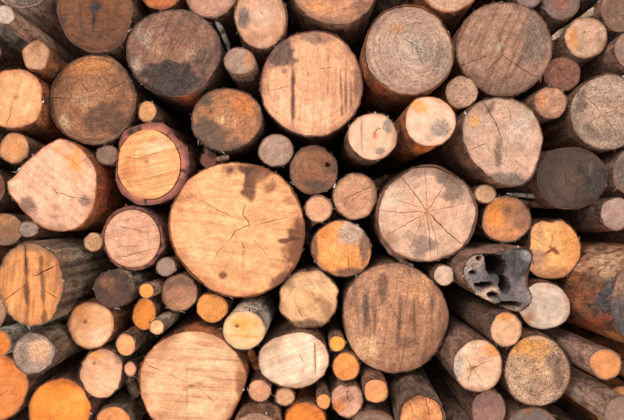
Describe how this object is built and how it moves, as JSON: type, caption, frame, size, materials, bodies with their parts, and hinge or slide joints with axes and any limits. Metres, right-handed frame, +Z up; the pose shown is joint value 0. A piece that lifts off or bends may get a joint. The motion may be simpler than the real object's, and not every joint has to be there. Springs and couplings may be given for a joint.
{
  "type": "stack of logs",
  "caption": "Free-standing heap of round, unpeeled logs and poles cross-cut to one length and stacked side by side with their sawn ends in one face.",
  "frame": {"origin": "on the ground under the middle of the heap", "axes": "+X along the heap, to the right when its front ends are faced; +Y from the front ends to the back ends; +Z up"},
  "size_m": [3.9198, 2.3616, 1.8708],
  "materials": {
    "fresh_wood": "freshly sawn end grain, peach to orange, under orange-brown bark",
    "seasoned_wood": "sawn end grain dried tan to brown with radial cracks, under grey-brown bark",
    "weathered_wood": "old end grain weathered grey to charcoal, under rough grey bark"
  },
  "bodies": {
    "root": {"birch_log": "fresh_wood", "blue_banded_log": "weathered_wood", "blue_stained_log": "seasoned_wood", "bottom_poles_a": "seasoned_wood", "bottom_poles_b": "seasoned_wood", "bottom_poles_c": "seasoned_wood", "bottom_poles_d": "seasoned_wood", "bottom_poles_e": "seasoned_wood", "bright_orange_log": "fresh_wood", "brown_mottled_log": "weathered_wood", "brown_streaked_log": "seasoned_wood", "charcoal_log": "weathered_wood", "cracked_tan_log": "seasoned_wood", "cream_oval_log": "fresh_wood", "cream_star_log": "fresh_wood", "cream_white_log": "fresh_wood", "dark_wedge_log": "weathered_wood", "double_heart_log": "fresh_wood", "giant_log": "fresh_wood", "grey_stained_log": "fresh_wood", "hollow_log": "weathered_wood", "left_poles_a": "seasoned_wood", "left_poles_b": "seasoned_wood", "left_poles_c": "seasoned_wood", "left_poles_d": "seasoned_wood", "lined_cream_log": "fresh_wood", "lobed_log": "fresh_wood", "middle_poles_a": "seasoned_wood", "middle_poles_b": "seasoned_wood", "mossy_log": "weathered_wood", "octagonal_log": "fresh_wood", "orange_topped_log": "fresh_wood", "outer_logs_a": "seasoned_wood", "outer_logs_b": "seasoned_wood", "outer_logs_c": "seasoned_wood", "outer_logs_d": "seasoned_wood", "outer_logs_e": "seasoned_wood", "pale_cream_log": "fresh_wood", "pink_barked_log": "seasoned_wood", "right_poles_a": "seasoned_wood", "right_poles_b": "seasoned_wood", "right_poles_c": "seasoned_wood", "ringed_grey_log": "seasoned_wood", "rough_barked_log": "fresh_wood", "salmon_log": "fresh_wood", "saw_lined_log": "fresh_wood", "speckled_brown_log": "seasoned_wood", "split_star_log": "fresh_wood", "square_peach_log": "fresh_wood", "star_cracked_log": "seasoned_wood", "tall_oval_log": "fresh_wood", "teardrop_log": "fresh_wood", "thick_barked_log": "fresh_wood", "top_centre_log": "seasoned_wood", "top_poles_a": "seasoned_wood", "top_poles_b": "seasoned_wood", "two_striped_log": "fresh_wood", "weathered_top_log": "weathered_wood", "white_cornered_log": "fresh_wood", "yellow_hearted_log": "weathered_wood"}
  },
  "joints": []
}
